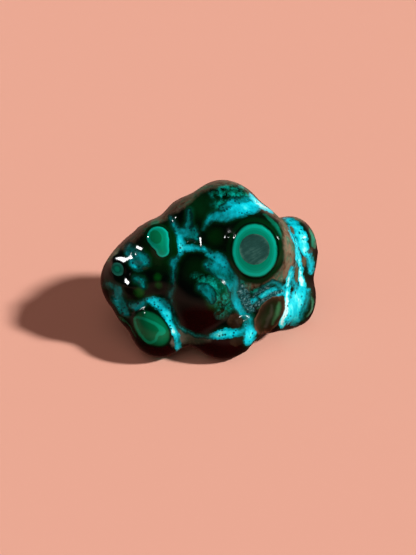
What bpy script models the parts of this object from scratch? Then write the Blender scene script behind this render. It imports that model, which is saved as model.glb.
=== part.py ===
"""A palm-size freeform of malachite and chrysocolla, polished all over: one solid stone.

The stone grew as a cluster of round masses and keeps their bulges. Each mass is an ellipsoid,
and the ellipsoids blend into one smooth skin. The skin is found from a gridded cube: every grid
point walks in from outside towards the heart of the stone until it meets the skin, and then the
points are evened out over it. The lowest bulges are worn flat in one plane, on which the stone
rests.
"""
import math

import bmesh
import bpy
import numpy as np

MM = 0.001

# Driving dimensions, in millimetres. X runs along the stone, Y from its front to its back, Z up.
# Each mass has a centre, three radii, and a lean in degrees that tips its top towards the back.
MASSES = {
    "middle": ((-1, 1, 20.5), (28, 15, 18.5), 35),
    "back": ((-1, 8, 18), (24, 12, 14.5), 20),
    "peak": ((4, 9.5, 36), (11.3, 11, 11), 0),
    "ridge": ((-6, 6.5, 34), (9, 9, 9), 0),
    "shoulder": ((13.3, 7, 30.5), (9, 9, 9), 0),
    "great_boss": ((13.7, -1, 28.5), (13, 12, 13), 0),
    "pear_boss": ((-16.3, 0.5, 29.7), (8.3, 8.3, 8.3), 0),
    "left_top": ((-22.6, 0, 24.5), (7.5, 7.5, 7.5), 0),
    "left_end": ((-24.3, -3.5, 19), (11, 11, 11), 0),
    "left_heel": ((-23.6, -9.5, 11.5), (6, 6, 6), 0),
    "left_foot": ((-16.4, -15, 8.9), (8.8, 8.8, 9.4), 0),
    "instep": ((-6.7, -12.5, 10), (8, 7, 7), 0),
    "front_ball": ((-2.2, -9, 18.5), (11.5, 11.5, 11.5), 0),
    "front_foot": ((3.8, -16.5, 7), (9, 7, 7.5), 0),
    "front_toe": ((10.3, -12, 8.5), (6, 6, 6), 0),
    "egg": ((19.3, -7, 10.5), (7.5, 7.5, 7.5), 0),
    "right_foot": ((27.3, 1.5, 8), (7.5, 8, 9.2), 20),
    "right_waist": ((19.5, 4.5, 14), (9.5, 9, 8), 0),
    "right_wing": ((26.3, 10, 21), (9, 9, 12), 35),
    "rear_left": ((-16, 10, 17), (11, 10, 11), 0),
    "rear_right": ((14, 15, 19), (11, 9, 11), 0),
    "rear_foot": ((-1, 12, 8), (9, 9, 8.5), 0),
}
BLEND = 1.6              # how softly neighbouring masses run into each other
HEART = (1.3, -2, 17)    # a point inside, from which the skin is found
GRID = 24                # squares along each side of the gridded cube
REST_PLANE = 0.0         # height of the worn flats
SNAP = 0.2               # a point this near the rest plane is put on it
CUT_TOLERANCE = 0.001

# How the skin is found.
OUTSIDE = 60.0           # distance from the heart at which every walk starts
WALK_STEPS = 60
WALK_RATE = 0.7          # share of the distance to the skin taken in one step
LONGEST_STEP = 5.0
EVENING_ROUNDS = 40
EVENING_RATE = 0.6
GRADIENT_REACH = 0.02

STONE_GREEN = (0.010, 0.095, 0.070, 1.0)
POLISH_ROUGHNESS = 0.12


def height_above_skin(points):
    """Distance of each point from the blended skin, negative inside the stone."""
    distances = []
    for centre, radii, lean in MASSES.values():
        offset = points - np.array(centre, dtype=float)
        sine = math.sin(math.radians(lean))
        cosine = math.cos(math.radians(lean))
        along_y = offset[:, 1] * cosine - offset[:, 2] * sine
        along_z = offset[:, 1] * sine + offset[:, 2] * cosine
        local = np.stack([offset[:, 0], along_y, along_z], axis=-1)
        reach = np.linalg.norm(local / radii, axis=-1)
        slope = np.linalg.norm(local / np.square(radii), axis=-1) + 1e-9
        distances.append(reach * (reach - 1) / slope)
    distances = np.array(distances)
    nearest = distances.min(axis=0)
    return nearest - BLEND * np.log(np.exp((nearest - distances) / BLEND).sum(axis=0))


def skin_gradient(points):
    """Direction in which the height above the skin grows fastest."""
    columns = []
    for step in np.eye(3) * GRADIENT_REACH:
        difference = height_above_skin(points + step) - height_above_skin(points - step)
        columns.append(difference / (2 * GRADIENT_REACH))
    return np.stack(columns, axis=-1)


def walk_in(directions):
    """Walk from outside towards the heart until each point meets the skin."""
    distance = np.full(len(directions), OUTSIDE)
    for _ in range(WALK_STEPS):
        points = np.array(HEART) + directions * distance[:, None]
        distance -= np.clip(height_above_skin(points) * WALK_RATE, -2, LONGEST_STEP)
        distance = np.maximum(distance, 1)
    return np.array(HEART) + directions * distance[:, None]


def even_out(points, edges):
    """Slide the points along the skin towards the middle of their neighbours."""
    ends = np.concatenate([edges, edges[:, ::-1]])
    neighbours = np.bincount(ends[:, 0], minlength=len(points))[:, None]
    for _ in range(EVENING_ROUNDS):
        total = np.zeros_like(points)
        np.add.at(total, ends[:, 0], points[ends[:, 1]])
        pull = total / neighbours - points
        gradient = skin_gradient(points)
        normal = gradient / np.linalg.norm(gradient, axis=1, keepdims=True)
        pull -= (pull * normal).sum(axis=1, keepdims=True) * normal
        points = points + EVENING_RATE * pull
        gradient = skin_gradient(points)
        rise = height_above_skin(points) / np.square(gradient).sum(axis=1)
        points = points - gradient * np.clip(rise, -1, 1)[:, None]
    return points


def gridded_cube():
    """A cube of side 2 whose faces are square grids."""
    bm = bmesh.new()
    bmesh.ops.create_cube(bm, size=2)
    bmesh.ops.subdivide_edges(bm, edges=bm.edges[:], cuts=GRID - 1, use_grid_fill=True)
    bm.verts.index_update()
    return bm


def shape_skin(bm):
    """Move the cube's points onto the skin of the stone, in metres."""
    corners = np.array([vert.co[:] for vert in bm.verts])
    edges = np.array([[vert.index for vert in edge.verts] for edge in bm.edges])
    directions = np.tan(corners * math.pi / 4)    # equal angles between the grid lines
    directions /= np.linalg.norm(directions, axis=1, keepdims=True)
    points = even_out(walk_in(directions), edges)
    for vert, point in zip(bm.verts, points):
        vert.co = point * MM


def wear_flats(bm):
    """Cut the lowest bulges off at the rest plane and close each cut with a flat face."""
    for vert in bm.verts:
        if abs(vert.co.z - REST_PLANE * MM) < SNAP * MM:
            vert.co.z = REST_PLANE * MM
    everything = bm.verts[:] + bm.edges[:] + bm.faces[:]
    bmesh.ops.bisect_plane(
        bm, geom=everything, dist=CUT_TOLERANCE * MM, plane_co=(0, 0, REST_PLANE * MM),
        plane_no=(0, 0, -1), clear_outer=True)
    rims = [edge for edge in bm.edges if edge.is_boundary]
    bmesh.ops.edgeloop_fill(bm, edges=rims)


def centre_over_origin(bm):
    """Slide the stone so that the middle of its box stands over the origin."""
    places = np.array([vert.co[:] for vert in bm.verts])
    middle = (places.min(axis=0) + places.max(axis=0)) / 2
    bmesh.ops.translate(bm, verts=bm.verts[:], vec=(-middle[0], -middle[1], 0))


def stone_material():
    material = bpy.data.materials.new("malachite")
    material.use_nodes = True
    shader = material.node_tree.nodes["Principled BSDF"]
    shader.inputs["Base Color"].default_value = STONE_GREEN
    shader.inputs["Roughness"].default_value = POLISH_ROUGHNESS
    shader.inputs["Metallic"].default_value = 0.0
    return material


def make_stone():
    bm = gridded_cube()
    shape_skin(bm)
    wear_flats(bm)
    centre_over_origin(bm)
    bmesh.ops.recalc_face_normals(bm, faces=bm.faces[:])
    mesh = bpy.data.meshes.new("malachite_stone")
    bm.to_mesh(mesh)
    bm.free()
    mesh.shade_smooth()
    mesh.set_sharp_from_angle(angle=math.radians(40))
    mesh.materials.append(stone_material())
    stone = bpy.data.objects.new("malachite_stone", mesh)
    bpy.context.scene.collection.objects.link(stone)


for item in list(bpy.data.objects):
    bpy.data.objects.remove(item, do_unlink=True)
make_stone()
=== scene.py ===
import math

import bmesh
import bpy
import numpy as np
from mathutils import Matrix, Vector
from mathutils.bvhtree import BVHTree


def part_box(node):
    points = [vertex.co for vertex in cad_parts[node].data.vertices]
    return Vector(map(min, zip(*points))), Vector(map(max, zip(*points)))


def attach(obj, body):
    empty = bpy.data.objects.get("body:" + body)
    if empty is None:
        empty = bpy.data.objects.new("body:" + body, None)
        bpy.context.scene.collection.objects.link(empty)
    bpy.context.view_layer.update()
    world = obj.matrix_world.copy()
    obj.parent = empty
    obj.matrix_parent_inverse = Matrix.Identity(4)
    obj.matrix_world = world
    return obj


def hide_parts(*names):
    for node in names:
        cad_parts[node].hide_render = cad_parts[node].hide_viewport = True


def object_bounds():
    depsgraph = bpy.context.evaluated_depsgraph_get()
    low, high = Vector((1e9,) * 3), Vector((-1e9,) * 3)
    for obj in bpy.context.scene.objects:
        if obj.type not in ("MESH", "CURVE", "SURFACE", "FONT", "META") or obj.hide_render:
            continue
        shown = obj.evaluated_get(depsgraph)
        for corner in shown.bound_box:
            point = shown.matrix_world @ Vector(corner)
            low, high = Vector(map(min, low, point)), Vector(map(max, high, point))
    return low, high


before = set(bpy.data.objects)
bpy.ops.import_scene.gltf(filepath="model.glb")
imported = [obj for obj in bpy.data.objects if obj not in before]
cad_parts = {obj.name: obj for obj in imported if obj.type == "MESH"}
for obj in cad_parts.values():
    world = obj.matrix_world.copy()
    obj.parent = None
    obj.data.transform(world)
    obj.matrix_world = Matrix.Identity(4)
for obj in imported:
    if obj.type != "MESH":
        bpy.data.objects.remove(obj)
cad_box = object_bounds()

MM = 0.001
NODE = "malachite_stone"

# ---- the stone's round masses
# Centre, radii, and a lean in degrees that tips the mass's top towards the back.
MASSES = {
    "middle": ((-1, 1, 20.5), (28, 15, 18.5), 35),
    "back": ((-1, 8, 18), (24, 12, 14.5), 20),
    "peak": ((4, 9.5, 36), (11.3, 11, 11), 0),
    "ridge": ((-6, 6.5, 34), (9, 9, 9), 0),
    "shoulder": ((13.3, 7, 30.5), (9, 9, 9), 0),
    "great_boss": ((13.7, -1, 28.5), (13, 12, 13), 0),
    "pear_boss": ((-16.3, 0.5, 29.7), (8.3, 8.3, 8.3), 0),
    "left_top": ((-22.6, 0, 24.5), (7.5, 7.5, 7.5), 0),
    "left_end": ((-24.3, -3.5, 19), (11, 11, 11), 0),
    "left_heel": ((-23.6, -9.5, 11.5), (6, 6, 6), 0),
    "left_foot": ((-16.4, -15, 8.9), (8.8, 8.8, 9.4), 0),
    "instep": ((-6.7, -12.5, 10), (8, 7, 7), 0),
    "front_ball": ((-2.2, -9, 18.5), (11.5, 11.5, 11.5), 0),
    "front_foot": ((3.8, -16.5, 7), (9, 7, 7.5), 0),
    "front_toe": ((10.3, -12, 8.5), (6, 6, 6), 0),
    "egg": ((19.3, -7, 10.5), (7.5, 7.5, 7.5), 0),
    "right_foot": ((27.3, 1.5, 8), (7.5, 8, 9.2), 20),
    "right_waist": ((19.5, 4.5, 14), (9.5, 9, 8), 0),
    "right_wing": ((26.3, 10, 21), (9, 9, 12), 35),
    "rear_left": ((-16, 10, 17), (11, 10, 11), 0),
    "rear_right": ((14, 15, 19), (11, 9, 11), 0),
    "rear_foot": ((-1, 12, 8), (9, 9, 8.5), 0),
}
BLEND = 1.6
HEART = np.array((1.3, -2, 17))     # a point inside, towards which the skin is looked for
OUTSIDE = 60.0
WALK_STEPS = 60
WALK_RATE = 0.7
LONGEST_STEP = 5
FIRST_GRID = 16
EVENING_ROUNDS = (40, 20, 10, 5)    # the first for FIRST_GRID, each next one for a doubled grid
EVENING_RATE = 0.6

# ---- the drawing of the front
# The front's pattern is laid out on a plane through AIM that faces the point DRAWN_FROM. Places
# on it are millimetres to the right of AIM and above it. They reach the skin along the lines
# that meet in DRAWN_FROM. An oval is (x, y, half length, half width, turn in degrees). A stroke
# is a smooth curve through points of (x, y, half width), some with one more value.
AIM = np.array((-1, -3.1, 20))
TILT = math.radians(35)
DISTANCE = 272.0
RIGHT = np.array((1, 0, 0))
UP = np.array((0, math.sin(TILT), math.cos(TILT)))
TOWARDS = np.array((0, -math.cos(TILT), math.sin(TILT)))
DRAWN_FROM = AIM + TOWARDS * DISTANCE

# Where the light comes from. The softboxes stand at SOFTBOX_DISTANCE metres.
KEY_LIGHT = (0.78, -0.12, 0.615)
LEFT_LIGHT = (-0.72, 0.05, 0.66)
FILL_LIGHT = (-0.2, -0.3, 0.93)
DARK_SIDE = (-0.3, -0.75, 0.6)
SOFTBOX_DISTANCE = 0.9

# Chrysocolla veins, as strokes. Their fourth value is their light: 0 is deep teal, 0.6 turquoise
# and 1.1 nearly white.
VEINS = {
    "crown_band": [
        (-1.5, 15.5, 0.4, 0.4), (0, 18, 0.8, 0.5), (1.8, 19.7, 1.5, 0.6), (5, 19.8, 2.1, 0.55),
        (8.5, 21.3, 2.5, 0.68), (12, 22.4, 2.5, 0.82), (15, 22.5, 1.7, 0.7)],
    "crown_haze": [(4, 22.3, 1, 0.35), (8, 24.3, 1.2, 0.4), (12, 25.2, 1.3, 0.45)],
    # The next stroke is a pale chrysocolla streak along the rim, painted near-white as a highlight.
    "crown_rim_highlight": [(13.8, 26.8, 0.6, 0.8), (16, 24.2, 1.1, 1.15), (20.5, 21.3, 0.5, 1.1)],
    "star_stem": [
        (-12, 19.5, 0.8, 0.28), (-10.8, 17, 1, 0.35), (-9.3, 14.5, 1.2, 0.5), (-8.6, 11.5, 1.3, 0.9),
        (-8.6, 8.6, 1, 0.85), (-9.3, 7.2, 0.5, 0.6)],
    "star_arm": [(-8, 14.5, 1.8, 0.5), (-5.5, 14.5, 2.2, 0.38), (-3.8, 12.8, 0.9, 0.3)],
    "star_top": [(-6, 21.5, 0.8, 0.25), (-6.2, 18.5, 1, 0.3), (-6.5, 16.5, 1.5, 0.35)],
    "star_foot": [(-8, 9.5, 1.2, 0.85), (-5.5, 9.7, 1, 0.8), (-3, 9.5, 0.9, 0.65), (0, 8.4, 0.7, 0.45)],
    "ball_side": [
        (-10, 6, 0.8, 0.45), (-11.3, 4.3, 1.3, 0.5), (-11.1, 1, 0.8, 0.35), (-11.4, -3, 0.9, 0.28),
        (-12.3, -6, 1.1, 0.32)],
    "ball_edge": [
        (-11.8, -7, 0.6, 0.3), (-11, -11, 0.6, 0.26), (-10, -14.5, 0.6, 0.28), (-8, -16.4, 0.6, 0.3),
        (-4.5, -18.2, 0.7, 0.3), (-1, -19.2, 0.5, 0.35)],
    "left_river": [
        (-19.3, -7.3, 1, 0.6), (-16.5, -8, 1.7, 0.8), (-14, -9.2, 2.1, 0.8), (-12.8, -12.2, 1.5, 0.8),
        (-11.8, -15, 1.2, 0.85), (-10.7, -17.6, 1, 1.05), (-9.8, -20, 0.8, 0.75),
        (-9.4, -22.7, 1, 0.8)],
    "left_patch_edge": [
        (-26, 9.5, 0.6, 0.4), (-25.3, 6.5, 0.8, 0.52), (-24, 4, 1, 0.58), (-22, 3.2, 0.8, 0.48),
        (-19.3, 4.7, 0.8, 0.42)],
    "left_patch": [(-25, 10, 1.3, 0.32), (-23.6, 7, 2.6, 0.34), (-21, 5.6, 2.5, 0.34)],
    "left_speck": [(-23.4, -0.3, 1, 0.32), (-21.5, -0.8, 1.2, 0.32), (-20.3, -2.6, 0.7, 0.24)],
    "left_shore": [
        (-32.5, -2, 1, 0.28), (-29.5, -3.5, 1.5, 0.35), (-28.5, -7, 1.8, 0.48),
        (-27.3, -9.5, 1.9, 0.52), (-26.5, -11.2, 1.3, 0.5)],
    "left_link": [(-25, -8.5, 1, 0.3), (-22.5, -9.3, 1.5, 0.3), (-20.5, -8, 1, 0.32)],
    "centre": [
        (0, 7.5, 0.9, 0.45), (3.5, 6, 1.9, 0.6), (6.5, 3.5, 1.9, 0.44), (8.3, 0, 1.9, 0.38),
        (8.9, -3.5, 1.3, 0.38)],
    "centre_low": [(0.5, 4, 1.8, 0.32), (4, 2.6, 2.6, 0.34), (7, 0, 2.7, 0.3), (7.8, -3.5, 1.6, 0.28)],
    "ball_patch": [(-2.5, -3.3, 1.3, 0.35), (0.3, -4.8, 2, 0.42), (1.3, -7.3, 1.3, 0.3)],
    "middle_shore": [
        (8.8, -3.5, 1.3, 0.38), (8.8, -7.3, 1.5, 0.42), (10.3, -10.3, 1.6, 0.44),
        (12.7, -12.6, 1.7, 0.38), (12.9, -15.2, 1.6, 0.48), (13.5, -18, 1.9, 0.95),
        (12.5, -20.3, 1.3, 0.75)],
    "bottom_band": [
        (-0.5, -19.3, 0.5, 0.4), (2, -18.7, 1.1, 0.75), (5, -17.8, 1.5, 1.02), (8, -17.6, 1.2, 0.8),
        (11.3, -17.2, 1, 0.55)],
    "curl": [
        (24.6, -4, 0.8, 0.65), (23, -2.3, 1, 0.52), (21, -1.6, 0.9, 0.48), (18.7, -2.5, 0.8, 0.42),
        (16.8, -3.8, 0.5, 0.38)],
    "curl_core": [(17.3, -5.8, 0.8, 0.8), (19.5, -4.6, 0.9, 0.85), (21.8, -3.8, 0.8, 0.75)],
    "curl_white": [(18.5, -4.6, 0.3, 1.1), (20.8, -3.7, 0.4, 1.15)],
    "curl_foot": [(18, -7.6, 0.3, 0.45), (20.5, -6.4, 0.5, 0.6), (24, -5, 0.8, 0.75)],
    "curl_heart": [(14, -7.5, 1, 0.7), (15.5, -6.8, 0.9, 0.7)],
    "river_top": [
        (24.5, 19.3, 0.7, 0.7), (26.5, 18.3, 1.1, 0.75), (28.6, 16, 1.4, 0.85), (30, 13, 1.5, 1),
        (30.6, 10.3, 1.5, 1), (32.2, 7.3, 1.2, 0.85), (33, 4.8, 0.8, 0.8), (32.8, 1.8, 0.7, 0.75)],
    "river_rail": [
        (26, 16.8, 0.4, 0.9), (27, 13.5, 0.45, 1), (28.3, 10.5, 0.5, 1.1), (28.7, 6, 0.5, 1.1)],
    "river_island": [
        (29.3, 8, 0.5, 1.15), (29.6, 4.5, 0.5, 1.2), (29.9, 1, 0.7, 1.25), (30.3, -2.5, 1, 1.25)],
    "river_left": [(27, 3, 0.4, 0.9), (26.2, 0.3, 0.8, 1.05), (25.6, -2.5, 0.8, 1.2)],
    "river_bay": [(27.3, -0.6, 0.8, 0.62), (28.2, -2.8, 1, 0.64)],
    "river_white": [
        (25.4, -3.5, 0.6, 1.3), (25.3, -7, 0.9, 1.35), (25, -11, 0.9, 1.35), (23.7, -15.2, 0.9, 1.3)],
    "river": [
        (30, -4, 1.6, 0.9), (28.8, -6.5, 2.6, 0.85), (28, -9.8, 2.4, 0.88), (27.5, -12.8, 2.3, 0.85),
        (26.5, -14.6, 1.3, 0.75)],
    "river_side": [
        (31.9, -4, 0.7, 0.62), (31.8, -7, 0.9, 0.44), (30.8, -10.5, 0.8, 0.4), (30, -13, 0.6, 0.42)],
}
LIGHT_SPREAD = 0.35     # how far a vein's light runs into the next vein
# Brown spots: ovals, each followed by its strength and how pale it is.
BROWN_SPOTS = {
    "river_upper": (27, 15.3, 1.6, 0.55, 115, 1, 1),
    "river_right": (30.9, 5, 1.8, 0.75, 95, 1, 1),
    "river_long": (28.3, 1.6, 3, 0.75, 92, 1, 1),
    "ball": (8.7, -13.8, 2.4, 2.3, 0, 1, 0),
    "ball_left": (4.5, -12, 2, 1.7, 0, 0.25, 0.2),
    "wing": (33, 8.5, 1.2, 0.6, 70, 0.9, 0.3),
    "front_foot": (8.8, -20.5, 2.2, 1.5, 0, 0.4, 0.15),
}
# Painted reflection of the warm floor: dark red ovals low on the stone.
FLOOR_REFLECTION_OVALS = {
    "ball": (-3, -13.5, 7, 5, 0),
    "front_foot": (4, -22.5, 7.5, 3.5, 5),
    "left_foot": (-15, -23.5, 5.5, 2.2, -15),
}
# The olive egg, with a green streak in it and a grey streak that is a painted soft highlight.
EGG = (19.8, -12, 6.9, 3.75, 56)
EGG_PAINTED_SHEEN = [(20.3, -9, 0.2), (20, -12, 0.6), (18.6, -15.5, 0.4)]
EGG_GREEN = [(22.8, -8, 0.2), (22.4, -10.5, 0.7), (21.5, -13, 0.3), (20.6, -15, 0.1)]
# Green glows in the dark: x, y, radius, strength, and how pure the green is.
GREEN_GLOWS = {
    "twin_upper": (-16, 0.3, 1.6, 0.7, 1),
    "twin_lower": (-15.8, -2.4, 1.3, 0.6, 1),
    "lone": (-22, -4.8, 1.9, 0.7, 1),
    "pear_halo": (-14.5, 10, 8, 0.3, 1),
    "dark_lobe": (2.5, 13, 3.5, 0.22, 1),
    "great_halo": (15, 9, 11, 0.22, 0.9),
    "crown_left": (-2, 23.5, 6, 0.3, 0.5),
    "ball_upper": (5, -3, 6, 0.42, 0.3),
    "ball_low": (2, -9.5, 3, 0.4, 0.9),
    "ball_high": (-4, 2, 5, 0.15, 0.7),
    "crown_gap": (1, 24, 5, 0.28, 0.4),
}
# Green stripes. Their fourth value is their strength.
GREEN_STRIPES = {
    "arc": [
        (17.8, 20.4, 0.4, 0.45), (20, 18.7, 0.8, 0.62), (22, 16, 1, 0.66), (23.2, 13, 0.8, 0.6),
        (23.4, 11.8, 0.4, 0.5)],
    # The next stripe is the arc's shaded side, painted as a darker teal.
    "arc_painted_shade": [(22.8, 17.5, 0.4, 0.32), (24.2, 15, 0.5, 0.34), (24.3, 12.5, 0.3, 0.3)],
    "arc_low": [(23.2, 9.5, 0.4, 0.5), (23.3, 6.8, 0.6, 0.65)],
    "wing": [(32.8, 16.3, 0.5, 0.55), (33.5, 13.5, 0.8, 0.75), (33.8, 10.3, 0.5, 0.6)],
    "egg_top": [(16, -9.8, 0.4, 0.4), (18.5, -8.4, 0.5, 0.42), (21.3, -6.9, 0.4, 0.4)],
    "shore_line": [
        (-28.5, -12.7, 0.25, 0.5), (-26, -14.5, 0.3, 0.55), (-24.5, -16.5, 0.25, 0.5),
        (-23, -19, 0.25, 0.45)],
}
# Pale grey-green crumbs and lines near the rim.
PALES = {
    "left_rim": [(-32, 5.8, 0.7), (-30.4, 7.3, 0.9), (-28.8, 9.3, 0.6)],
    "pear_crumb": [(-17.9, 17.4, 0.5), (-16.3, 18, 0.6)],
    "crown_crumb": [(-3.2, 28.3, 0.7), (-1, 29.4, 0.7)],
    "wing_line": [(34.2, 15.3, 0.1), (34.6, 12.3, 0.15), (34.3, 9.6, 0.15)],
    "foot_line": [(33, -5.8, 0.1), (33.6, -8, 0.25), (33, -10.5, 0.25), (31.8, -12.4, 0.1)],
}
# Zones where teal and green break up the dark.
MOTTLES = {
    "crown": [(2, 27.5, 1.5), (6, 27.5, 2.8), (11, 27.3, 2.5), (13, 25.5, 1.5)],
    "crown_low": [(2.5, 23.5, 1.3), (6, 24.5, 1.8)],
    "ball": [(-3.5, -0.5, 1.5), (0, -1.5, 2.2), (4, -1.5, 3), (6.5, -4.5, 3), (4, -8, 2.2)],
    "below_great": [(11.8, -1.3, 1), (13.8, -3.2, 1.3), (15.3, -4.3, 0.9)],
    "shore": [(4, -11.5, 1.3), (6.5, -9.5, 1.5), (8, -7.5, 1.5)],
}
# Zones of fine black and white grains, and then of plain grey, whose short line on the left foot is a
# painted highlight.
PEPPERS = {
    "outer": [(10.8, -2.3, 0.6), (11.4, -4.5, 1.5), (12.2, -7.5, 1.6), (13.8, -10, 1.1)],
    "lower": [(16, -8.5, 0.9), (18.5, -6.9, 0.7), (21.5, -5.2, 0.6), (24, -4.4, 0.4)],
    "inner": [(15.3, -5.4, 0.6), (17.3, -3.9, 0.6), (19.5, -3, 0.4)],
}
GREYS_AND_HIGHLIGHT = {
    "ball_foot": [(-9, -16.8, 0.6), (-8, -19.3, 1.7), (-4.5, -20, 1.1), (0, -19.9, 0.9)],
    # A short grey line painted as a highlight on the left foot.
    "left_foot": [(-12, -20, 0.7), (-11, -21.5, 0.8)],
}
# Earthy zones: brown, grey and dull green in streaks; along the back rim the brown is partly earth and
# partly a painted reflection of the warm room. The fourth value is their strength.
EARTHS_AND_RIM_REFLECTION = {
    "back_rim_earth_and_reflection": [
        (-27, 9.5, 0.8, 0.5), (-20.5, 16.5, 1.6, 0.5), (-14, 20.5, 1.6, 0.55), (-8.5, 24, 1.5, 0.6),
        (-3, 28.5, 1.4, 0.7), (3, 30.5, 1, 0.7), (9, 30.5, 0.6, 0.7)],
    "strip": [
        (19, 21.8, 0.5, 0.9), (23.5, 18.8, 0.7, 1), (25, 14.5, 0.9, 1), (26, 9.5, 1.6, 1),
        (26, 4.5, 1.7, 1), (24, 1, 1.7, 0.9), (20, -0.7, 1.3, 0.8), (16, -1.3, 1.2, 0.7),
        (13, -2.6, 1.2, 0.45)],
    "wing_top": [(28, 19, 0.6, 0.9), (31, 18.5, 0.7, 0.9)],
}

# The eyes' ovals. DISC is the great eye's frosted middle.
GREAT_EYE = (15, 8.7, 8.5, 7.2, 93)
DISC = (15, 9.1, 4.9, 4.8, 90)
SMALL_EYE = (-29, 2.8, 2.3, 2, 100)
LEAF = (-18.2, -16.3, 6.8, 4.6, -42)
# The pear-shaped eye is a stroke with a darker core. The leaf's bright edge is a closed stroke.
PEAR = [(-16, 12.9, 3.6), (-14.9, 10.3, 2.5), (-14.5, 8.7, 2.2)]
PEAR_CORE = (-16.7, 13, 2.4, 1.8, 115)
LEAF_EDGE = [
    (-23.3, -12.8, 0.1), (-21, -13, 0.15), (-18.5, -14, 0.15), (-16, -15.4, 0.25),
    (-14.6, -17.2, 0.7), (-16.2, -18.3, 0.15), (-16.9, -20, 0.1), (-18.5, -20.8, 0.1),
    (-20.2, -19.9, 0.1), (-22.2, -17.2, 0.1), (-23.3, -14.8, 0.1), (-23.3, -12.8, 0.1)]

# Relief: small bumps of (x, y, radius, height), and a rugged hollow, an oval with its depth.
BUMPS = {
    "great_left": (6.8, 12.7, 1.6, 0.28),
    "star_lobe": (2.5, 13, 4.5, 0.3),
    "leaf_top": (-20.3, -11.4, 2.2, 0.3),
    "toe": (11.8, -13.8, 2.2, 0.3),
    "stem_top": (-10.2, 19.3, 2.2, 0.3),
    "pear_left": (-19.5, 13.2, 1.6, 0.12),
    "small_eye": (-28.5, 2.8, 4, 0.3),
    "left_patch": (-22.3, 6.3, 4.4, 1),
    "left_dark": (-23.9, -2, 3.6, 0.9),
    "left_shore": (-30, -6.5, 3.2, 0.6),
    "lone": (-22, -4.8, 3.4, 0.5),
    "twin": (-16, -1, 4.6, 0.6),
    "pear": (-15.5, 11.5, 5.5, 0.5),
}
HOLLOWS = {
    "star": (-5.4, 11.6, 1.5, 0.5, -5, 0.6),
}
# Small polished flats, each of which mirrors the softbox on its side to the viewer.
LEFT_FLATS = {
    "left_upper": (-28.2, 6, 2.2, 1.2, -5),
    "left_middle": (-24.8, 1.8, 1.3, 0.7, 20),
    "left_lower": (-26, -1.4, 2.6, 1.1, -62),
    "patch_upper": (-22, 9.5, 1.5, 0.7, -25),
    "patch_middle": (-24.5, 7.2, 1.5, 0.6, -60),
    "patch_lower": (-21.6, 3.9, 1.8, 0.7, -8),
    "shore": (-30, -6.6, 2.8, 0.9, -72),
    "shore_lower": (-25.9, -11.8, 1.7, 0.6, 28),
    "star": (-2.5, 11.7, 2.4, 0.8, -72),
}
RIGHT_FLATS = {
    "river": (31, 12.9, 0.9, 0.5, 20),
}
# Short flats in a row along the great eye's upper right edge. The angles count from its top.
RIM_ANGLES = (-27, -38, -49, -60, -71, -82)
RIM_FLAT = (1, 0.36)
FLAT_DEPTH = 0.1
FLAT_LIMIT = 0.8            # the most that a flat may move a point
FLAT_EVENING = 3
GREAT_FLATTENING = 0.8      # share of its doming that the great eye loses
GREAT_RISE = 0.22
GREAT_GROOVE = 0.05
EYE_RISE = 0.09
VEIN_SINK = 0.16
NODULE_RISE = 0.2
SWELL = 0.07
RIPPLE = 0.03

# The hidden sides.
SCATTER_SEED = 4
SCATTER_TRIES = 1500
NODULE_LARGEST = 7.5
NODULE_SMALLEST = 1.6
KINDS = ("eye", "leaf", "egg", "glow", "dark")
KIND_SHARES = (0.36, 0.16, 0.08, 0.2, 0.2)

# ---- noise and small tools
HASH_STEPS = np.array((73856093, 19349663, 83492791), dtype=np.int64)
FAR = 50.0
CURVE_STEPS = 3     # pieces of a smooth stroke between two of its points


def cloud(points, size, seed):
    """Smooth noise between -1 and 1 whose lumps have the given size."""
    cell = points / size + seed * 7.31
    base = np.floor(cell).astype(np.int64)
    part = cell - base
    fade = part * part * (3 - 2 * part)
    total = np.zeros(len(points))
    for corner in np.ndindex(2, 2, 2):
        key = ((base + corner) * HASH_STEPS).sum(axis=1) + seed * 7919
        key = ((key ^ (key >> 13)) * 1274126177) & 0xFFFFFFFF
        value = ((key ^ (key >> 16)) & 0xFFFF) / 32767.5 - 1
        weight = np.where(corner, fade, 1 - fade).prod(axis=1)
        total += value * weight
    return total


def rough_cloud(points, size, seed, layers=3):
    """Noise with finer lumps added on top of the coarse ones."""
    total = np.zeros(len(points))
    for layer in range(layers):
        total += cloud(points, size / 2 ** layer, seed + layer) / 2 ** layer
    return total / (2 - 2 ** (1 - layers))


def ease(value, low, high):
    """0 below low, 1 above high, and a smooth rise between them."""
    share = np.clip((value - low) / (high - low), 0, 1)
    return share * share * (3 - 2 * share)


# ---- the skin
def skin(points):
    """Height of each point above the blended skin, and the direction of its fastest rise."""
    heights = []
    slopes = []
    for centre, radii, lean in MASSES.values():
        offset = points - np.array(centre, dtype=float)
        sine = math.sin(math.radians(lean))
        cosine = math.cos(math.radians(lean))
        turn = np.array(((1, 0, 0), (0, cosine, -sine), (0, sine, cosine)))
        local = offset @ turn.T
        reach = np.linalg.norm(local / radii, axis=1)
        slope = local / np.square(radii)
        steepness = np.linalg.norm(slope, axis=1) + 1e-9
        heights.append(reach * (reach - 1) / steepness)
        slopes.append((slope / steepness[:, None]) @ turn)
    heights = np.array(heights)
    nearest = heights.min(axis=0)
    shares = np.exp((nearest - heights) / BLEND)
    total = shares.sum(axis=0)
    gradient = np.einsum("mp,mpk->pk", shares / total, np.array(slopes))
    return nearest - BLEND * np.log(total), gradient


def unit(vectors):
    return vectors / np.linalg.norm(vectors, axis=1, keepdims=True)


def settle(points):
    """Move points that are near the skin onto it."""
    height, gradient = skin(points)
    share = np.clip(height / np.square(gradient).sum(axis=1), -1, 1)
    return points - gradient * share[:, None]


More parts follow.
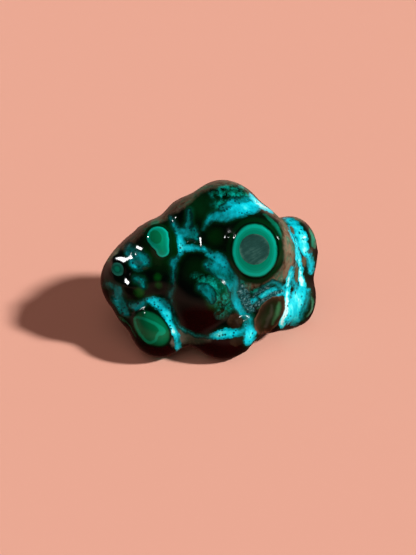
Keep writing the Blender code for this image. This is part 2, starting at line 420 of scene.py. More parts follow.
def walk_in(directions):
    """Walk from outside towards the heart until each point meets the skin."""
    distance = np.full(len(directions), OUTSIDE)
    for _ in range(WALK_STEPS):
        height = skin(HEART + directions * distance[:, None])[0]
        distance = np.maximum(distance - np.clip(height * WALK_RATE, -2, LONGEST_STEP), 1)
    return HEART + directions * distance[:, None]


def even_out(points, edges, rounds):
    """Slide the points along the skin towards the middle of their neighbours."""
    for _ in range(rounds):
        pull = neighbour_mean(points, edges) - points
        normal = unit(skin(points)[1])
        pull -= (pull * normal).sum(axis=1, keepdims=True) * normal
        points = settle(points + EVENING_RATE * pull)
    return points


def neighbour_mean(values, edges):
    """For each point, the mean of a value over the points that an edge joins to it."""
    count = np.bincount(edges.ravel(), minlength=len(values))
    flat = values.reshape(len(values), -1)
    total = np.empty_like(flat)
    for column in range(flat.shape[1]):
        total[:, column] = (
            np.bincount(edges[:, 0], weights=flat[edges[:, 1], column], minlength=len(values))
            + np.bincount(edges[:, 1], weights=flat[edges[:, 0], column], minlength=len(values)))
    return (total / count[:, None]).reshape(values.shape)


def edge_list(bm):
    bm.verts.index_update()
    return np.array([[vert.index for vert in edge.verts] for edge in bm.edges])


def lay_out_map(bm):
    """Give each side of the cube its own cell of a map, three across and two up."""
    layer = bm.loops.layers.uv.new("OFBake")
    margin = 0.02
    corners = ((0, 0), (1, 0), (1, 1), (0, 1))
    for index, face in enumerate(bm.faces):
        for loop, corner in zip(face.loops, corners):
            across = (index % 3 + margin + corner[0] * (1 - 2 * margin)) / 3
            up = (index // 3 + margin + corner[1] * (1 - 2 * margin)) / 2
            loop[layer].uv = (across, up)


def shape_skin():
    """The stone's smooth skin as a fine grid of squares, its points and its edges."""
    bm = bmesh.new()
    bmesh.ops.create_cube(bm, size=2)
    lay_out_map(bm)
    bmesh.ops.subdivide_edges(bm, edges=bm.edges[:], cuts=FIRST_GRID - 1, use_grid_fill=True)
    corners = np.array([vert.co[:] for vert in bm.verts])
    points = walk_in(unit(np.tan(corners * math.pi / 4)))
    edges = edge_list(bm)
    points = even_out(points, edges, EVENING_ROUNDS[0])
    for rounds in EVENING_ROUNDS[1:]:
        for vert, point in zip(bm.verts, points):
            vert.co = point
        bmesh.ops.subdivide_edges(bm, edges=bm.edges[:], cuts=1, use_grid_fill=True)
        points = np.array([vert.co[:] for vert in bm.verts])
        edges = edge_list(bm)
        points = even_out(settle(points), edges, rounds)
    return bm, points, edges


# ---- reading the drawing
def on_drawing(points):
    """Where each point of the skin lies on the drawing of the front."""
    offset = points - DRAWN_FROM
    depth = -(offset @ TOWARDS)
    scale = DISTANCE / depth
    return np.stack([offset @ RIGHT * scale, offset @ UP * scale], axis=1)


def seen_share(points, normals, edges, faces):
    """1 where the skin can be seen from DRAWN_FROM, falling softly to 0 where it can't."""
    tree = BVHTree.FromPolygons(points.tolist(), faces)
    sight = unit(DRAWN_FROM - points)
    facing = (sight * normals).sum(axis=1)
    seen = np.zeros(len(points))
    for index in np.flatnonzero(facing > 0.04):
        start = Vector(points[index] + normals[index] * 0.3)
        hit = tree.ray_cast(start, Vector(sight[index]), 90.0)
        seen[index] = hit[0] is None
    for _ in range(16):
        seen = (seen + neighbour_mean(seen, edges)) / 2
    return ease(seen + 0.25 * rough_cloud(points, 4, 161), 0.15, 0.85)


def smooth_stroke(stroke):
    """More points along the Catmull-Rom curve through the stroke's own points."""
    points = np.array(stroke, dtype=float)
    closed = len(points) > 2 and np.allclose(points[0], points[-1])
    before = points[-2] if closed else 2 * points[0] - points[1]
    after = points[1] if closed else 2 * points[-1] - points[-2]
    points = np.vstack([before, points, after])
    curve = []
    for first, second, third, fourth in zip(points, points[1:], points[2:], points[3:]):
        for step in range(CURVE_STEPS):
            share = step / CURVE_STEPS
            curve.append(0.5 * (2 * second + (third - first) * share
                                + (2 * first - 5 * second + 4 * third - fourth) * share ** 2
                                + (3 * second - first - 3 * third + fourth) * share ** 3))
    curve.append(points[-2])
    return np.array(curve)


def along_stroke(places, stroke):
    """Distance outside a tapered stroke, and the stroke's own value at the nearest point."""
    stroke = smooth_stroke(stroke)
    best = np.full(len(places), FAR)
    value = np.zeros(len(places))
    for first, last in zip(stroke[:-1], stroke[1:]):
        start = first[:2]
        run = last[:2] - start
        share = np.clip((places - start) @ run / (run @ run), 0, 1)
        reach = np.linalg.norm(places - start - share[:, None] * run, axis=1)
        distance = reach - first[2] - share * (last[2] - first[2])
        closer = distance < best
        best = np.where(closer, distance, best)
        if len(first) > 3:
            value = np.where(closer, first[3] + share * (last[3] - first[3]), value)
    return best, value


def oval_reach(places, oval):
    """Reach from an oval's middle, 1 on its outline."""
    turn = math.radians(oval[4])
    offset = places - oval[:2]
    along = offset @ np.array((math.cos(turn), math.sin(turn)))
    aside = offset @ np.array((-math.sin(turn), math.cos(turn)))
    return np.sqrt(np.square(along / oval[2]) + np.square(aside / oval[3]))


# The pattern's values besides "vein", the depth inside a vein. REACHES grow outwards from a
# shape's middle or line, and AMOUNTS say how much of a look there is.
REACHES = ("eye", "great", "disc", "leaf", "leaf_line", "small", "egg", "core")
AMOUNTS = ("glow", "green", "brown", "olive", "mottle", "pepper", "grey", "light", "floor_reflection",
           "earth_and_reflection", "pale", "satin", "egg_painted_sheen", "egg_green")
# Zones drawn as strokes, each with its outline's softness.
SOFT_ZONES = (
    ("mottle", MOTTLES, 1.2), ("pepper", PEPPERS, 0.5), ("grey", GREYS_AND_HIGHLIGHT, 0.6),
    ("earth_and_reflection", EARTHS_AND_RIM_REFLECTION, 0.9), ("pale", PALES, 0.3), ("egg_painted_sheen", {"streak": EGG_PAINTED_SHEEN}, 0.6),
    ("egg_green", {"streak": EGG_GREEN}, 0.6))


def read_drawing(points):
    """The front's pattern as one value for each point of the skin."""
    drift = np.stack([
        0.5 * rough_cloud(points, 3, 11) + 0.16 * cloud(points, 0.9, 21),
        0.5 * rough_cloud(points, 3, 31) + 0.16 * cloud(points, 0.9, 41)], axis=1)
    calm = on_drawing(points)
    places = calm + drift
    pattern = {}

    vein = np.full(len(points), -FAR)
    light_total = np.full(len(points), 1e-6)
    light = np.zeros(len(points))
    for stroke in VEINS.values():
        distance, shade = along_stroke(places, stroke)
        vein = np.maximum(vein, -distance)
        weight = np.exp(-np.clip(distance, -3, 20) / LIGHT_SPREAD)
        light += weight * shade
        light_total += weight
    pattern["vein"] = vein
    pattern["light"] = light / light_total

    brown = []
    olive = []
    for *oval, strength, pale in BROWN_SPOTS.values():
        share = ease(1 - oval_reach(places, oval), -0.12, 0.12)
        brown.append(strength * share)
        olive.append(pale * share)
    pattern["brown"] = np.max(brown, axis=0)
    pattern["olive"] = np.max(olive, axis=0)
    pattern["egg"] = oval_reach(places, EGG)
    # Painted reflection of the warm floor on the stone's low parts.
    floor_reflection = [ease(1 - oval_reach(places, oval), -0.15, 0.35) for oval in FLOOR_REFLECTION_OVALS.values()]
    pattern["floor_reflection"] = np.max(floor_reflection, axis=0)

    glow = []
    green = []
    for x, y, radius, strength, pure in GREEN_GLOWS.values():
        reach = np.linalg.norm(places - (x, y), axis=1) / radius
        lift = strength * ease(1 - reach, -0.25, 0.75)
        glow.append(lift * pure)
        green.append(lift * (1 - pure * 0.7))
    for stroke in GREEN_STRIPES.values():
        distance, shade = along_stroke(places, stroke)
        green.append(shade * ease(-distance, -0.35, 0.35))
    pattern["glow"] = np.max(glow, axis=0)
    pattern["green"] = np.max(green, axis=0)

    for name, strokes, soft in SOFT_ZONES:
        amounts = []
        for stroke in strokes.values():
            distance, strength = along_stroke(places, stroke)
            if len(stroke[0]) == 3:
                strength = 1
            amounts.append(strength * ease(-distance, -soft, soft))
        pattern[name] = np.max(amounts, axis=0)

    ripple = calm + drift * 0.25
    pattern["great"] = oval_reach(ripple, GREAT_EYE)
    pattern["disc"] = oval_reach(calm + drift * 0.12, DISC)
    pattern["eye"] = 1 + along_stroke(ripple, PEAR)[0] / PEAR[0][2]
    pattern["leaf"] = oval_reach(ripple, LEAF)
    pattern["small"] = oval_reach(ripple, SMALL_EYE)
    pattern["leaf_line"] = np.clip(along_stroke(ripple, LEAF_EDGE)[0], 0, FAR)
    pattern["core"] = oval_reach(ripple, PEAR_CORE)
    satin = [ease(2.2 - oval_reach(calm, oval), 0, 1) for oval in LEFT_FLATS.values()]
    pattern["satin"] = np.max(satin, axis=0)
    return pattern


# ---- the sides that aren't drawn
def scatter_nodules(points, seen):
    """Place round nodules over the sides that the drawing doesn't reach, largest first."""
    draw = np.random.default_rng(SCATTER_SEED)
    centres = []
    radii = []
    for attempt, index in enumerate(draw.permutation(len(points))[:SCATTER_TRIES]):
        radius = NODULE_LARGEST * (NODULE_SMALLEST / NODULE_LARGEST) ** (attempt / SCATTER_TRIES)
        radius *= draw.uniform(0.8, 1.1)
        if seen[index] > 0.5:
            continue
        clear = all(math.dist(points[index], centre) > 0.93 * (radius + other)
                    for centre, other in zip(centres, radii))
        if clear:
            centres.append(points[index])
            radii.append(radius)
    return np.array(centres), np.array(radii)


def read_scatter(points, seen):
    """The pattern of the hidden sides: nodules, some with eyes, and veins between them."""
    centres, radii = scatter_nodules(points, seen)
    draw = np.random.default_rng(SCATTER_SEED + 1)
    drift = np.stack([rough_cloud(points, 5, seed) for seed in (51, 61, 71)], axis=1)
    places = points + drift * 0.9
    reach = np.linalg.norm(places[:, None, :] - centres[None, :, :], axis=2)
    outside = reach - radii
    order = np.argsort(outside, axis=1)[:, :2]
    rows = np.arange(len(points))
    first = outside[rows, order[:, 0]]
    second = outside[rows, order[:, 1]]
    gap = (second - first) / 2
    width = 0.5 + 1.5 * rough_cloud(points, 15, 81)
    pattern = {name: np.full(len(points), FAR) for name in REACHES}
    pattern.update({name: np.zeros(len(points)) for name in AMOUNTS})
    pattern["vein"] = np.clip(np.maximum(width - gap, first - 0.5 + width * 0.6), -FAR, 2.5)
    pattern["light"] = 0.62 + 0.45 * rough_cloud(points, 9, 91)
    pattern["green"] = 0.1 + 0.22 * ease(rough_cloud(points, 7, 101), -0.2, 0.8)

    kinds = draw.choice(KINDS, size=len(radii), p=KIND_SHARES)
    eye_sizes = radii * draw.uniform(0.45, 0.72, size=len(radii))
    cut = np.array([seen[reach[:, index] < 1.3 * size].max() > 0.15
                    for index, size in enumerate(eye_sizes)])
    kinds = np.where(cut, "dark", kinds)
    nearest = order[:, 0]
    kind = kinds[nearest]
    ring = reach[rows, nearest] / eye_sizes[nearest]
    pattern["eye"] = np.where(kind == "eye", ring, FAR)
    pattern["leaf"] = np.where(kind == "leaf", ring, FAR)
    pattern["leaf_line"] = np.where(kind == "leaf", np.abs(ring - 0.7) * 3, FAR)
    pattern["egg"] = np.where(kind == "egg", reach[rows, nearest] / (0.85 * radii[nearest]), FAR)
    pattern["glow"] = np.where(kind == "glow", 0.6 * ease(1 - ring * 0.7, 0, 0.8), 0)
    pattern["mottle"] = 0.8 * ease(rough_cloud(points, 11, 111), 0.25, 0.6)
    pattern["dome"] = np.clip(1 - np.square(reach[rows, nearest] / radii[nearest]), 0, 1)
    return pattern


def join_patterns(drawn, scattered, seen):
    """Use the drawing where it can be seen, and let shapes close where the two meet."""
    joined = {}
    unseen = 1 - seen
    joined["vein"] = np.maximum(drawn["vein"] - unseen * 8, scattered["vein"] - seen * 8)
    for name in REACHES:
        joined[name] = np.clip(
            np.minimum(drawn[name] + unseen * 2, scattered[name] + seen * 2), 0, 3)
    for name in AMOUNTS:
        joined[name] = drawn[name] * seen + scattered[name] * unseen
    return joined


# ---- relief
def add_relief(points, normals, edges, pattern, scattered, seen):
    """Raise and sink the polished skin a little, as the minerals' hardness and wear have."""
    calm = on_drawing(points)
    rise = SWELL * cloud(points, 7, 121) + RIPPLE * cloud(points, 3.2, 131)
    rise -= VEIN_SINK * ease(pattern["vein"], -0.2, 1.0)
    rise += NODULE_RISE * scattered["dome"] * np.square(1 - seen)
    for name in ("eye", "leaf"):
        rise += EYE_RISE * ease(1.25 - pattern[name], 0, 0.5)
    rise += GREAT_RISE * ease(1.06 - pattern["great"], 0, 0.13)
    rise -= GREAT_GROOVE * ease(1.2 - np.abs(pattern["great"] - 1.12) * 8, 0, 1.2)
    for x, y, radius, height in BUMPS.values():
        reach = np.linalg.norm(calm - (x, y), axis=1) / radius
        rise += seen * height * np.square(np.clip(1 - reach * reach, 0, 1))
    for *oval, depth in HOLLOWS.values():
        reach = oval_reach(calm, oval) + 0.3 * cloud(points, 0.8, 141)
        rise -= seen * depth * ease(1 - reach, 0, 0.4)
    for _ in range(2):
        rise = (rise + neighbour_mean(rise, edges)) / 2
    points = points + normals * rise[:, None]
    points = grind(points, pattern["great"], GREAT_FLATTENING)
    points = grind(points, pattern["disc"], 1.0)
    points = cut_flat(points, calm, seen, SMALL_EYE, DARK_SIDE)
    for oval in LEFT_FLATS.values():
        points = cut_flat(points, calm, seen, oval, LEFT_LIGHT)
    for oval in list(RIGHT_FLATS.values()) + rim_flats():
        points = cut_flat(points, calm, seen, oval, KEY_LIGHT)
    for _ in range(FLAT_EVENING):
        pull = neighbour_mean(points, edges) - points
        points = points + pull * pattern["satin"][:, None] * EVENING_RATE
    return points


def grind(points, reach, share):
    """Flatten a round patch towards the plane through its outline."""
    rim = (reach > 0.94) & (reach < 1.06)
    middle = points[rim].mean(axis=0)
    axes = np.linalg.svd(points[rim] - middle, full_matrices=False)[2]
    axis = axes[2] * np.sign(axes[2] @ TOWARDS)
    height = (points - middle) @ axis
    sink = share * np.clip(height, 0, None) * ease(1.25 - reach, 0, 0.2)
    return points - axis * sink[:, None]


def rim_flats():
    """The row of flats along the great eye's edge, each turned to follow it."""
    x, y, length, width, turn = GREAT_EYE
    turn = math.radians(turn)
    long_way = np.array((math.cos(turn), math.sin(turn)))
    wide_way = np.array((-math.sin(turn), math.cos(turn)))
    flats = []
    for angle in map(math.radians, RIM_ANGLES):
        sine = math.sin(angle)
        cosine = math.cos(angle)
        place = np.array((x, y)) + long_way * length * cosine + wide_way * width * sine
        run = wide_way * width * cosine - long_way * length * sine
        flats.append((*place, *RIM_FLAT, math.degrees(math.atan2(run[1], run[0]))))
    return flats


def cut_flat(points, calm, seen, oval, direction):
    """Grind a small flat that mirrors what lies in the given direction to the viewer."""
    reach = oval_reach(calm, oval)
    middle = points[np.argmin(reach + FAR * (seen < 0.5))]
    mirrored = AIM + np.array(direction) / np.linalg.norm(direction) * SOFTBOX_DISTANCE / MM
    facing = unit(unit(np.array([DRAWN_FROM, mirrored]) - middle).sum(axis=0)[None])[0]
    share = ease(1.7 - reach, 0, 0.9) * ease(seen, 0.5, 0.9)
    height = np.clip((points - middle) @ facing + FLAT_DEPTH, -FLAT_LIMIT, FLAT_LIMIT)
    return points - facing * (height * share)[:, None]


# ---- the mesh
def make_stone():
    bm, points, edges = shape_skin()
    normals = unit(skin(points)[1])
    faces = [[vert.index for vert in face.verts] for face in bm.faces]
    seen = seen_share(points, normals, edges, faces)
    drawn = read_drawing(points)
    scattered = read_scatter(points, seen)
    pattern = join_patterns(drawn, scattered, seen)
    middle = (points.min(axis=0) + points.max(axis=0)) / 2
    points = add_relief(points, normals, edges, pattern, scattered, seen)
    points[:, 2] = np.maximum(points[:, 2], 0)
    low, high = (np.array(corner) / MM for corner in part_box(NODE))
    points[:, :2] += ((low + high) / 2 - middle)[:2]
    points[:, 2] += low[2]
    for vert, point in zip(bm.verts, points):
        vert.co = point * MM
    mesh = bpy.data.meshes.new("polished_stone")
    bm.to_mesh(mesh)
    bm.free()
    mesh.shade_smooth()
    for name, values in pattern.items():
        attribute = mesh.attributes.new(name, "FLOAT", "POINT")
        attribute.data.foreach_set("value", values.astype(np.float32))
    mesh.materials.append(stone_material())
    stone = bpy.data.objects.new("polished_stone", mesh)
    bpy.context.scene.collection.objects.link(stone)
    return stone


# ---- the material
class Paint:
    """Short ways to add and join the shader nodes of a material or a world."""

    def __init__(self, owner, shader="Principled BSDF"):
        owner.use_nodes = True
        self.tree = owner.node_tree
        self.shader = self.tree.nodes[shader]

    def put(self, socket, value):
        if isinstance(value, bpy.types.NodeSocket):
            self.tree.links.new(value, socket)
        elif value is not None:
            socket.default_value = value

    def fill(self, node, **inputs):
        """Set a node's inputs by name."""
        for name, value in inputs.items():
            self.put(node.inputs[name.replace("_", " ")], value)
        return node

    def add(self, kind, **inputs):
        return self.fill(self.tree.nodes.new("ShaderNode" + kind), **inputs)

    def read(self, name):
        """The pattern's value of that name."""
        node = self.add("Attribute")
        node.attribute_name = name
        return node.outputs["Fac"]

    def math(self, operation, first, second=None, third=None):
        node = self.add("Math")
        node.operation = operation
        for socket, value in zip(node.inputs, (first, second, third)):
            self.put(socket, value)
        return node.outputs[0]

    def centre(self, noise, amount):
        """Noise moved to lie about zero, amount wide."""
        return self.math("MULTIPLY_ADD", noise, amount, -amount / 2)

    def span(self, value, low, high, start=0, end=1):
        """A smooth change from start to end while the value goes from low to high."""
        node = self.add("MapRange", Value=value, From_Min=low, From_Max=high, To_Min=start, To_Max=end)
        node.interpolation_type = "SMOOTHSTEP"
        return node.outputs["Result"]

    def places(self):
        return self.add("TexCoord").outputs["Object"]

    def noise(self, scale, detail=3, rough=0.55, distort=0, stretch=(1, 1, 1), turn=(0, 0, 0)):
        """Noise whose lumps are stretched along the axes of a turned frame."""
        turned = self.add("Mapping", Vector=self.places(), Scale=stretch, Rotation=turn)
        turned.vector_type = "TEXTURE"
        node = self.add("TexNoise", Vector=turned.outputs["Vector"], Scale=scale, Detail=detail,
                        Roughness=rough, Distortion=distort)
        return node.outputs["Fac"]

    def cells(self, scale):
        """Distance from the middles of scattered cells."""
        return self.add("TexVoronoi", Vector=self.places(), Scale=scale).outputs["Distance"]

    def ramp(self, value, stops):
        node = self.add("ValToRGB", Fac=value)
        elements = node.color_ramp.elements
        while len(elements) < len(stops):
            elements.new(0.5)
        for element, (position, colour) in zip(elements, stops):
            element.position = position
            element.color = (*colour, 1)
        return node.outputs["Color"]

    def mix(self, share, under, over):
        """Mix two colours."""
        node = self.add("Mix", Factor=share)
        node.data_type = "RGBA"
        sockets = [item for item in node.inputs if item.type == "RGBA"]
        for socket, value in zip(sockets, (under, over)):
            self.put(socket, (*value, 1) if isinstance(value, tuple) else value)
        return [item for item in node.outputs if item.type == "RGBA"][0]

    def blend(self, share, under, over):
        """Mix two plain values."""
        return self.add("Mix", Factor=share, A=under, B=over).outputs["Result"]


BLACK_GREEN = (0.0003, 0.0018, 0.0008)
SCRATCH_TURN = (0, -0.42, 0.32)
POLISH_IOR = 1.26
GROUND_ROUGHNESS = (0.045, 0.11)    # the dark ground's, which wanders between the two
VEIN_ROUGHNESS = 0.15
PART_ROUGHNESS = {"pepper": 0.3, "earth_and_reflection": 0.5, "satin": 0.11}
FROST_ROUGHNESS = 0.48
SCRATCH_DEPTH = 0.00003     # metres


def dark_malachite(paint):
    """Near-black green that lifts to banded mid green where the green value says so."""
    lumps = paint.centre(paint.noise(260, detail=5, rough=0.62), 0.9)
    fringe = paint.span(paint.read("vein"), -1.6, 0.1, 0, 0.3)
    level = paint.math("ADD", paint.read("green"), fringe)
    level = paint.math("MULTIPLY_ADD", lumps, paint.math("MULTIPLY_ADD", level, 0.8, 0.06), level)
    return paint.ramp(level, (
        (0, BLACK_GREEN), (0.14, (0.0003, 0.007, 0.0022)), (0.28, (0.0004, 0.022, 0.008)),
        (0.45, (0.0005, 0.06, 0.03)), (0.65, (0.0012, 0.15, 0.085)), (1, (0.004, 0.31, 0.2))))


def mottled(paint, under):
    """Broken patches of teal and green in the dark green."""
    fine = paint.noise(400, detail=6, rough=0.64)
    share = paint.math("MULTIPLY", paint.read("mottle"), paint.span(fine, 0.41, 0.54))
    patches = paint.ramp(paint.noise(560, detail=6, rough=0.66), (
        (0.34, (0.0003, 0.022, 0.009)), (0.44, (0.0004, 0.065, 0.034)), (0.51, (0.0006, 0.13, 0.088)),
        (0.58, (0.0009, 0.23, 0.18)), (0.7, (0.002, 0.4, 0.35))))
    return paint.mix(share, under, patches)


def veined(paint, under):
    """Chrysocolla: deep teal at its edges and in thin veins, turquoise to white where thick."""
    wander = paint.centre(paint.noise(700, detail=6, rough=0.66), 1.7)
    depth = paint.math("ADD", paint.read("vein"), wander)
    cover = paint.span(depth, -0.32, -0.06)
    streaks = paint.centre(paint.noise(420, detail=6, rough=0.66, stretch=(1, 1, 2.2)), 1.2)
    edge = paint.span(depth, -0.1, 0.9, -0.32, 0.06)
    level = paint.math("ADD", paint.math("ADD", paint.read("light"), streaks), edge)
    colour = paint.ramp(paint.math("DIVIDE", level, 1.25), (
        (0, (0.0003, 0.022, 0.017)), (0.16, (0.0003, 0.06, 0.05)), (0.28, (0.0004, 0.13, 0.125)),
        (0.42, (0.0006, 0.235, 0.27)), (0.54, (0.0008, 0.39, 0.48)), (0.66, (0.001, 0.53, 0.66)),
        (0.78, (0.01, 0.68, 0.77)), (0.89, (0.11, 0.81, 0.85)), (1, (0.5, 0.91, 0.92))))
    from_edge = paint.math("ABSOLUTE", paint.math("SUBTRACT", depth, 0.8))
    near_edge = paint.span(from_edge, 0.2, 1.6, 1, 0)
    dots = paint.span(paint.cells(850), 0.2, 0.36, 1, 0)
    where = paint.span(paint.noise(300, detail=2), 0.43, 0.53)
    specks = paint.math("MULTIPLY", paint.math("MULTIPLY", dots, near_edge), where)
    colour = paint.mix(paint.math("MULTIPLY", specks, 0.9), colour, (0.001, 0.02, 0.03))
    return paint.mix(cover, under, colour), cover


def peppered(paint, under):
    """Fine dark and pale grains."""
    grains = paint.ramp(paint.noise(1500, detail=2, rough=0.7), (
        (0.36, (0.001, 0.012, 0.014)), (0.48, (0.003, 0.07, 0.075)),
        (0.57, (0.02, 0.15, 0.165)), (0.7, (0.22, 0.36, 0.38))))
    return paint.mix(paint.read("pepper"), under, grains)


def browned(paint, under):
    """Iron-brown spots, and the olive egg with its green streak and its grey streak of painted soft
    highlight.
    """
    tone = paint.ramp(paint.noise(240, detail=4), (
        (0.35, (0.006, 0.003, 0.001)), (0.55, (0.014, 0.007, 0.003)), (0.72, (0.04, 0.026, 0.013))))
    tone = paint.mix(paint.read("olive"), tone, (0.095, 0.075, 0.036))
    colour = paint.mix(paint.read("brown"), under, tone)
    streaks = paint.centre(paint.noise(360, detail=4, stretch=(1, 1, 3)), 0.5)
    egg = paint.read("egg")
    shell = paint.ramp(paint.math("ADD", egg, streaks), (
        (0, (0.006, 0.026, 0.005)), (0.4, (0.008, 0.016, 0.004)), (0.7, (0.014, 0.011, 0.004)),
        (0.9, (0.03, 0.016, 0.007)), (1, (0.085, 0.045, 0.026))))
    # The grey streak is a painted soft highlight; the green one is the egg's own.
    for name, share, tone in (("egg_painted_sheen", 0.5, (0.07, 0.065, 0.05)),
                              ("egg_green", 0.75, (0.04, 0.19, 0.075))):
        shell = paint.mix(paint.math("MULTIPLY", paint.read(name), share), shell, tone)
    return paint.mix(paint.span(egg, 1.04, 0.96), colour, shell)


def earthy_and_reflected(paint, under):
    """Brown, grey and dull green in streaks that break up along the stone, with pale crumbs. Along the
    back rim the brown is partly a painted reflection.
    """
    streaks = paint.noise(330, detail=6, rough=0.66, distort=0.6, stretch=(1, 1, 2.4))
    tone = paint.ramp(streaks, (
        (0.34, (0.03, 0.026, 0.012)), (0.42, (0.12, 0.065, 0.036)), (0.49, (0.21, 0.15, 0.095)),
        (0.55, (0.11, 0.15, 0.09)), (0.62, (0.03, 0.18, 0.105)), (0.7, (0.33, 0.35, 0.27))))
    broken = paint.span(paint.noise(480, detail=5, rough=0.65), 0.36, 0.52)
    # This mask also carries the painted reflection along the back rim.
    share = paint.math("MULTIPLY", paint.read("earth_and_reflection"), paint.blend(broken, 0.6, 1))
    colour = paint.mix(share, under, tone)
    pale = paint.ramp(paint.noise(600, detail=5, rough=0.6), (
        (0.36, (0.012, 0.12, 0.06)), (0.52, (0.04, 0.18, 0.1)), (0.68, (0.11, 0.23, 0.15))))
    return paint.mix(paint.read("pale"), colour, pale)


def eyed(paint, under):
    """Banded eyes: a teal ring inside a near-black rim."""
    rings = (
        (0, (0.0004, 0.25, 0.135)), (0.12, (0.0004, 0.225, 0.115)), (0.2, (0.0004, 0.25, 0.135)),
        (0.3, (0.0004, 0.22, 0.13)), (0.34, (0.0005, 0.25, 0.16)), (0.365, (0.0005, 0.23, 0.145)),
        (0.39, (0.0007, 0.3, 0.2)), (0.41, (0.0007, 0.29, 0.19)), (0.425, (0.0012, 0.39, 0.285)),
        (0.455, (0.0012, 0.41, 0.31)), (0.48, (0.001, 0.33, 0.23)), (0.5, (0.0004, 0.07, 0.03)),
        (0.52, (0.0003, 0.004, 0.0015)), (0.56, (0.0003, 0.022, 0.0045)),
        (0.63, (0.0003, 0.017, 0.0035)), (0.68, BLACK_GREEN))
    bands = paint.centre(paint.noise(90, detail=3), 0.1)
    for name in ("eye", "great"):
        reach = paint.math("ADD", paint.read(name), bands)
        colour = paint.ramp(paint.math("MULTIPLY", reach, 0.5), rings)
        under = paint.mix(paint.span(reach, 1.34, 1.2), under, colour)
    core = paint.span(paint.math("ADD", paint.read("core"), bands), 1.04, 0.9)
    return paint.mix(core, under, (0.0003, 0.145, 0.06))


def leafed(paint, under):
    """Mid-green eyes with a light line like a leaf's edge inside them, and the small teal eye whose
    greyish outer band is a painted highlight.
    """
    reach = paint.read("leaf")
    line = paint.read("leaf_line")
    body = paint.ramp(paint.math("MULTIPLY", reach, 0.5), (
        (0, (0.0002, 0.12, 0.042)), (0.36, (0.0003, 0.15, 0.062)), (0.46, (0.0003, 0.1, 0.036)),
        (0.5, (0.0003, 0.02, 0.007)), (0.54, (0.0002, 0.004, 0.001))))
    edge = paint.span(line, 0.05, 0.55, 1, 0)
    body = paint.mix(paint.math("MULTIPLY", edge, 0.9), body, (0.001, 0.3, 0.165))
    under = paint.mix(paint.span(reach, 1.14, 1.06), under, body)
    small = paint.read("small")
    # The small eye's teal middle is its own colour; its greyish outer band is a painted highlight.
    rings = paint.ramp(small, (
        (0, (0.0008, 0.15, 0.09)), (0.34, (0.0006, 0.11, 0.066)), (0.46, (0.0005, 0.055, 0.036)),
        (0.66, (0.004, 0.085, 0.062)), (0.88, (0.014, 0.115, 0.086)), (0.98, (0.0003, 0.004, 0.002))))
    return paint.mix(paint.span(small, 1.1, 0.98), under, rings)


def frosted(paint, under):
    """The ground, scratched middle of the great eye, with a painted highlight along its edge."""
    disc = paint.read("disc")
    scratches = paint.noise(1500, detail=3, rough=0.7, stretch=(7, 1, 1), turn=SCRATCH_TURN)
    clouds = paint.noise(190, detail=4, rough=0.6)
    tone = paint.ramp(paint.blend(0.55, scratches, clouds), (
        (0.36, (0.007, 0.048, 0.041)), (0.5, (0.013, 0.078, 0.067)), (0.6, (0.034, 0.125, 0.11)),
        (0.7, (0.085, 0.21, 0.19))))
    # Painted highlight: a lighter band along the disc's edge, where its bevel catches the light.
    rim = paint.math("MULTIPLY", paint.span(disc, 0.78, 0.99), paint.span(clouds, 0.4, 0.6))
    tone = paint.mix(rim, tone, (0.05, 0.17, 0.14))
    cover = paint.span(paint.math("MULTIPLY_ADD", clouds, 0.1, disc), 1.06, 1.03)
    return paint.mix(cover, under, tone), cover, scratches


def stone_material():
    material = bpy.data.materials.new("polished_malachite")
    paint = Paint(material)
    colour = dark_malachite(paint)
    colour = paint.mix(paint.read("glow"), colour, (0.0003, 0.06, 0.004))
    # Painted reflection of the warm floor: the low parts turn dark red.
    colour = paint.mix(paint.read("floor_reflection"), colour, (0.0085, 0.0003, 0.0004))
    colour = mottled(paint, colour)
    # Grey zones; the one on the left foot is a painted highlight.
    colour = paint.mix(paint.read("grey"), colour, paint.ramp(paint.noise(260, detail=4), (
        (0.35, (0.026, 0.048, 0.032)), (0.55, (0.07, 0.075, 0.056)), (0.72, (0.135, 0.125, 0.1)))))
    colour = earthy_and_reflected(paint, colour)
    colour, cover = veined(paint, colour)
    colour = peppered(paint, colour)
    colour = browned(paint, colour)
    colour = eyed(paint, colour)
    colour = leafed(paint, colour)
    colour, frost, scratches = frosted(paint, colour)
    smear = paint.span(paint.noise(60, detail=3), 0.35, 0.7, *GROUND_ROUGHNESS)
    rough = paint.blend(cover, smear, VEIN_ROUGHNESS)
    for name, roughness in PART_ROUGHNESS.items():
        rough = paint.blend(paint.read(name), rough, roughness)
    rough = paint.blend(frost, rough, FROST_ROUGHNESS)
    scratched = paint.blend(frost, 0.5, scratches)
    bump = paint.add("Bump", Distance=SCRATCH_DEPTH, Strength=0.5, Height=scratched)
    paint.fill(paint.shader, Base_Color=colour, IOR=POLISH_IOR, Roughness=rough,
               Normal=bump.outputs["Normal"])
    return material


# ---- the stage
FLOOR_HALF = 12.0       # metres
FLOOR_COLOUR = (0.84, 0.43, 0.33, 1)
LENS = 55
# Colours of the studio's walls from straight below, 0, to straight above, 1.
WALLS = (
    (0, (0.09, 0.022, 0.015)), (0.3, (0.14, 0.04, 0.028)), (0.495, (0.8, 0.41, 0.31)),
    (0.57, (0.62, 0.34, 0.27)), (0.68, (0.06, 0.05, 0.05)), (1, (0.02, 0.02, 0.022)))
WALL_STRENGTH = 0.95


def floor_material():
    material = bpy.data.materials.new("pale_blush_floor")
    paint = Paint(material)
    paint.fill(paint.shader, Base_Color=FLOOR_COLOUR, Roughness=1, Specular_IOR_Level=0)
    return material


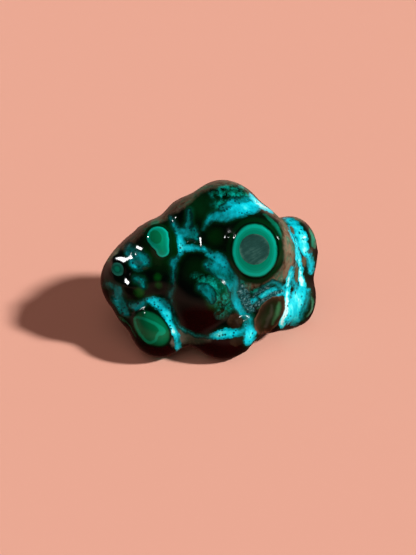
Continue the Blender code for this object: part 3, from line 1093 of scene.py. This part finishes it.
def add_floor():
    mesh = bpy.data.meshes.new("floor")
    corners = [(x * FLOOR_HALF, y * FLOOR_HALF, 0) for x, y in ((-1, -1), (1, -1), (1, 1), (-1, 1))]
    mesh.from_pydata(corners, [], [(0, 1, 2, 3)])
    mesh.materials.append(floor_material())
    floor = bpy.data.objects.new("floor", mesh)
    floor.location.z = cad_box[0][2]
    floor.visible_glossy = False
    bpy.context.scene.collection.objects.link(floor)


def set_up(name, data, way):
    """Put a lamp or camera on the stage, looking back along the given way."""
    item = bpy.data.objects.new(name, data)
    item.rotation_euler = Vector(way).to_track_quat("Z", "Y").to_euler()
    bpy.context.scene.collection.objects.link(item)
    return item


def add_softbox(name, direction, size, power):
    """A square softbox that faces the stone and shows only as a reflection in its polish."""
    light = bpy.data.lights.new(name, "AREA")
    light.shape = "SQUARE"
    light.size = size
    light.energy = power
    way = Vector(direction).normalized()
    lamp = set_up(name, light, way)
    lamp.location = Vector(AIM) * MM + way * SOFTBOX_DISTANCE
    lamp.visible_diffuse = False


def add_sun(name, direction, strength, width, colour):
    """Even light from a lamp that looks that many degrees wide and isn't seen in the polish."""
    light = bpy.data.lights.new(name, "SUN")
    light.energy = strength
    light.angle = math.radians(width)
    light.color = colour
    set_up(name, light, direction).visible_glossy = False


def add_world():
    """The studio. The stone's polish reflects its dark lower half in place of the floor."""
    world = bpy.data.worlds.new("studio")
    bpy.context.scene.world = world
    paint = Paint(world, "Background")
    split = paint.add("SeparateXYZ", Vector=paint.add("TexCoord").outputs["Generated"])
    height = paint.add("MapRange", Value=split.outputs["Z"], From_Min=-1)
    walls = paint.ramp(height.outputs["Result"], WALLS)
    paint.fill(paint.shader, Color=walls, Strength=WALL_STRENGTH)


def add_camera():
    data = bpy.data.cameras.new("camera")
    data.lens = LENS
    camera = set_up("camera", data, TOWARDS)
    camera.location = Vector(DRAWN_FROM) * MM
    bpy.context.scene.camera = camera


add_camera()
add_world()
add_floor()
add_sun("key_light", KEY_LIGHT, 4.0, 6, (1, 0.99, 0.97))
add_sun("fill_light", FILL_LIGHT, 0.45, 60, (1, 0.72, 0.62))
add_softbox("left_softbox", LEFT_LIGHT, 0.12, 5)
add_softbox("right_softbox", KEY_LIGHT, 0.1, 3.6)
stone = make_stone()
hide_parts(NODE)
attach(stone, "root")
bpy.context.scene.view_settings.view_transform = "Standard"
